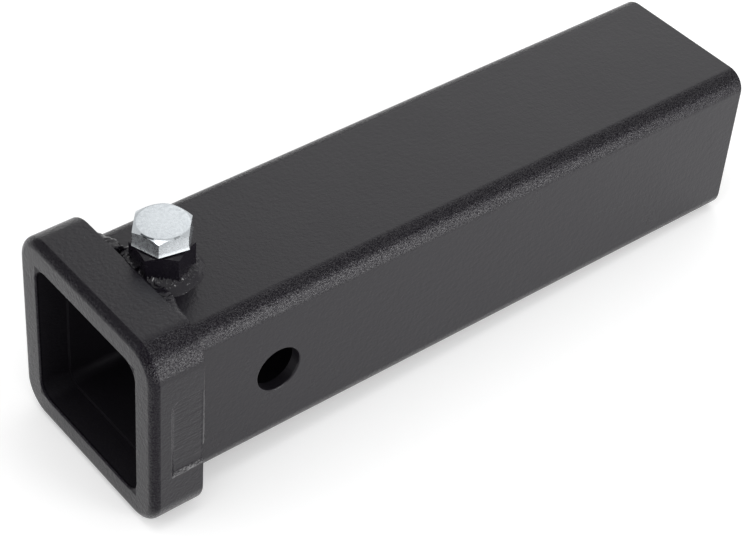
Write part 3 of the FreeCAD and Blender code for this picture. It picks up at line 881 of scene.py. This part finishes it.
class RECEIVER_OT_bolt(bpy.types.Operator):
    """Make the clamp bolt: its bevelled head and its threaded shank"""

    bl_idname = "receiver.bolt"
    bl_label = "Clamp Bolt"

    def execute(self, context):
        shape = context.scene.receiver_shape
        tip, top = BOLT_LOW.z, BOLT_HIGH.z
        foot = top - shape.head_height
        for name, bm, sharp in (
            ("bolt_head", self.head(shape, foot, top), 20),
            ("bolt_shank", self.shank(shape, tip, foot + 0.5 * MM), 35),
        ):
            bmesh.ops.translate(bm, vec=(BOLT_AXIS.x, BOLT_AXIS.y, 0), verts=bm.verts[:])
            finish_piece(bm, name, "bolt", "bright_zinc", ["clamp_bolt"], sharp=sharp)
        return {"FINISHED"}

    def head(self, shape, foot, top):
        """The hexagon head with a 30 degree bevel, a slight flare at its foot and a washer face below."""
        corner = shape.spanner / math.sqrt(3) + 1 * MM
        circle = HEAD_TOP_CIRCLE
        drop = (corner - circle) * math.tan(math.radians(30))
        profile = [
            (0, foot),
            (HEAD_FOOT_CIRCLE, foot),
            (HEAD_FOOT_CIRCLE, foot + 0.4 * MM),
            (corner - 0.5 * MM, foot + 0.4 * MM),
            (corner, foot + 0.7 * MM),
            (corner, top - drop),
            (circle + 0.35 * MM, top - 0.16 * MM),
            (circle, top - 0.05 * MM),
            (circle - 0.4 * MM, top),
            (0, top),
        ]
        prism = hexagon(shape.spanner, foot - 1 * MM, top + 1 * MM, shape.head_turn)
        for height in (foot + 0.1 * MM, foot + 1.6 * MM):
            bmesh.ops.bisect_plane(
                prism, geom=prism.verts[:] + prism.edges[:] + prism.faces[:], plane_co=(0, 0, height),
                plane_no=(0, 0, 1))
        above = [vert for vert in prism.verts if vert.co.z > foot + 1 * MM]
        inset = 1 - 0.6 * MM / shape.spanner
        bmesh.ops.scale(prism, vec=(inset, inset, 1), verts=above)
        bm = combine(prism, turned_solid(profile, 144), "INTERSECT")
        soften(bm, self.on_corner, 0.22 * MM, 3)
        return bm

    def on_corner(self, edge):
        """Tells whether an edge is a steep one between two of the head's flats."""
        run, rise = run_and_rise(edge)
        return run < 0.4 * rise and rise > 0.5 * MM

    def shank(self, shape, tip, end):
        """The shank with a helical thread and a bevelled tip."""
        pitch = shape.thread_pitch
        bm = bmesh.new()
        low = tip - pitch
        points = [
            (THREAD_ROOT, 0.0),
            (THREAD_ROOT, 0.12),
            (THREAD_CREST, 0.44),
            (THREAD_CREST, 0.56),
            (THREAD_ROOT, 0.88),
            (THREAD_ROOT, 1.0),
        ]
        verts = [bm.verts.new((radius, 0, low + share * pitch)) for radius, share in points]
        edges = [bm.edges.new(pair) for pair in zip(verts, verts[1:])]
        turns = int((end - low) / pitch) + 1
        steps = 40
        bmesh.ops.spin(
            bm, geom=verts + edges, cent=(0, 0, 0), axis=(0, 0, 1), dvec=(0, 0, pitch / steps),
            angle=2 * math.pi * turns, steps=steps * turns)
        merge_points(bm, 0.004 * MM)
        keep_side(bm, (0, 0, tip), (0, 0, 1))
        keep_side(bm, (0, 0, end), (0, 0, -1))
        for vert in bm.verts:
            reach = math.hypot(vert.co.x, vert.co.y)
            allowed = 4.8 * MM + (vert.co.z - tip)
            if reach > allowed:
                vert.co.x *= allowed / reach
                vert.co.y *= allowed / reach
        return bm


class RECEIVER_OT_stage(bpy.types.Operator):
    """Set up the floor, the lamps and the camera"""

    bl_idname = "receiver.stage"
    bl_label = "Studio"

    def execute(self, context):
        self.floor(context)
        self.world(context)
        self.lamps(context)
        self.camera(context)
        context.scene.view_settings.view_transform = "Standard"
        return {"FINISHED"}

    def floor(self, context):
        """A pale floor through the collar's and the tail's lowest edges."""
        bm = bmesh.new()
        bmesh.ops.create_grid(bm, x_segments=1, y_segments=1, size=6.0)
        back, tail = Vector((COLLAR_BACK_X, 0, -COLLAR_HALF)), Vector((TAIL_X, 0, -TUBE_HALF))
        slope = math.atan2(tail.z - back.z, tail.x - back.x)
        place = Matrix.Translation(back + Vector((0, 0, -0.05 * MM))) @ Matrix.Rotation(-slope, 4, "Y")
        bmesh.ops.transform(bm, matrix=place, verts=bm.verts[:])
        mesh = bpy.data.meshes.new("floor")
        bm.to_mesh(mesh)
        bm.free()
        floor = bpy.data.objects.new("floor", mesh)
        context.scene.collection.objects.link(floor)
        material, tree, shader = new_material("floor_white")
        shader.inputs["Base Color"].default_value = (*context.scene.receiver_finish.floor, 1)
        shader.inputs["Roughness"].default_value = 0.9
        shader.inputs["Specular IOR Level"].default_value = 0.0
        shader.inputs["Emission Color"].default_value = (1, 1, 1, 1)
        path = add_node(tree, "ShaderNodeLightPath").outputs
        seen = math_node(tree, "MAXIMUM", path["Is Camera Ray"], path["Is Glossy Ray"])
        link(tree, scaled(tree, seen, 0.32), shader.inputs["Emission Strength"])
        mesh.materials.append(material)

    def world(self, context):
        """White air, a little brighter behind the object than in the light that falls on it."""
        world = bpy.data.worlds.new("studio_air")
        context.scene.world = world
        world.use_nodes = True
        tree = world.node_tree
        background = tree.nodes["Background"]
        background.inputs["Color"].default_value = (1, 1, 1, 1)
        path = add_node(tree, "ShaderNodeLightPath").outputs
        seen = math_node(tree, "MAXIMUM", path["Is Camera Ray"], path["Is Transmission Ray"])
        link(tree, multiply_add(tree, seen, 0.25, 0.75), background.inputs["Strength"])

    def lamps(self, context):
        """Four soft boxes: beyond the tail, from the left, overhead and low on the right."""
        for name, place, size, power in (
            ("tail_box", (0.95, 0.75, 0.85), 1.0, 1.5),
            ("left_box", (-1.05, 0.35, 0.55), 0.8, 1.3),
            ("top_box", (-0.20, -0.15, 1.20), 0.45, 1.8),
            ("right_box", (0.45, -1.10, 0.25), 0.55, 7.6),
        ):
            light = bpy.data.lights.new(name, "AREA")
            light.shape = "DISK"
            light.size = size
            light.energy = power
            lamp = bpy.data.objects.new(name, light)
            lamp.location = place
            aim = Vector((0.03, 0, 0)) - Vector(place)
            lamp.rotation_euler = aim.to_track_quat("-Z", "Y").to_euler()
            context.scene.collection.objects.link(lamp)

    def camera(self, context):
        """The photograph's viewpoint."""
        azimuth, elevation, roll = (math.radians(CAMERA[name]) for name in ("azimuth", "elevation", "roll"))
        back = Vector((
            math.sin(azimuth) * math.cos(elevation),
            -math.cos(azimuth) * math.cos(elevation),
            math.sin(elevation)))
        right = Vector((0, 0, 1)).cross(back).normalized()
        up = back.cross(right)
        across = math.cos(roll) * right + math.sin(roll) * up
        upward = -math.sin(roll) * right + math.cos(roll) * up
        data = bpy.data.cameras.new("photo_camera")
        data.sensor_width = 36.0
        data.lens = CAMERA["focal_px"] * data.sensor_width / IMAGE[0]
        data.shift_x = (IMAGE[0] / 2 - CAMERA["centre_px"][0]) / IMAGE[0]
        data.shift_y = (CAMERA["centre_px"][1] - IMAGE[1] / 2) / IMAGE[0]
        data.clip_start, data.clip_end = 0.01, 50
        camera = bpy.data.objects.new("photo_camera", data)
        matrix = Matrix((across, upward, back)).transposed().to_4x4()
        matrix.translation = Vector(CAMERA["place"])
        camera.matrix_world = matrix
        context.scene.collection.objects.link(camera)
        context.scene.camera = camera


class RECEIVER_OT_finishes(bpy.types.Operator):
    """Make the paint and the zinc plating"""

    bl_idname = "receiver.finishes"
    bl_label = "Finishes"

    def execute(self, context):
        shape, finish = context.scene.receiver_shape, context.scene.receiver_finish
        group = sprayed_paint_group()
        floor_y, margin = shape.dressed_depth - COLLAR_HALF, 0.1 * MM
        ground = (
            (COLLAR_BACK_X - shape.dressed_length, floor_y - margin, -shape.dressed_bottom),
            (COLLAR_BACK_X, floor_y + margin, shape.dressed_top))
        tube_corner = 2 * TUBE_HALF - shape.tube_corner
        collar_corner = 2 * COLLAR_HALF - shape.collar_corner
        painted_steel("tube_paint", finish, group, roughness=0.29, bump=0.9, settings={
            "Peel": 0.35, "Grain": 0.28, "Sparkle": 1.9, "Corner Start": tube_corner + 0.6 * MM})
        painted_steel("collar_paint", finish, group, roughness=0.25, bump=0.9, ground=ground, settings={
            "Peel": 0.45, "Grain": 0.55, "Sparkle": 2.0, "Corner Start": collar_corner + 1.8 * MM})
        painted_steel("weld_paint", finish, group, roughness=0.19, bump=0.7, settings={
            "Peel": 0.8, "Grain": 0.6, "Sparkle": 0.0, "Corner Start": collar_corner})
        zinc_steel("bright_zinc", finish)
        return {"FINISHED"}


class RECEIVER_PT_panel(bpy.types.Panel):
    """Lists the steps that dress the receiver tube"""

    bl_label = "Receiver Tube"
    bl_idname = "RECEIVER_PT_panel"
    bl_space_type = "VIEW_3D"
    bl_region_type = "UI"
    bl_category = "Receiver Tube"

    def draw(self, context):
        for operator in STEPS:
            self.layout.operator(operator.bl_idname)


STEPS = (
    RECEIVER_OT_finishes,
    RECEIVER_OT_tube,
    RECEIVER_OT_collar,
    RECEIVER_OT_welds,
    RECEIVER_OT_nut,
    RECEIVER_OT_bolt,
    RECEIVER_OT_stage,
)
CLASSES = (ReceiverShape, ReceiverFinish, *STEPS, RECEIVER_PT_panel)


def register():
    for item in CLASSES:
        bpy.utils.register_class(item)
    bpy.types.Scene.receiver_shape = bpy.props.PointerProperty(type=ReceiverShape)
    bpy.types.Scene.receiver_finish = bpy.props.PointerProperty(type=ReceiverFinish)


def unregister():
    del bpy.types.Scene.receiver_finish
    del bpy.types.Scene.receiver_shape
    for item in reversed(CLASSES):
        bpy.utils.unregister_class(item)


def main():
    register()
    bpy.ops.receiver.finishes()
    bpy.ops.receiver.tube()
    bpy.ops.receiver.collar()
    bpy.ops.receiver.welds()
    bpy.ops.receiver.nut()
    bpy.ops.receiver.bolt()
    bpy.ops.receiver.stage()


if __name__ == "__main__":
    main()
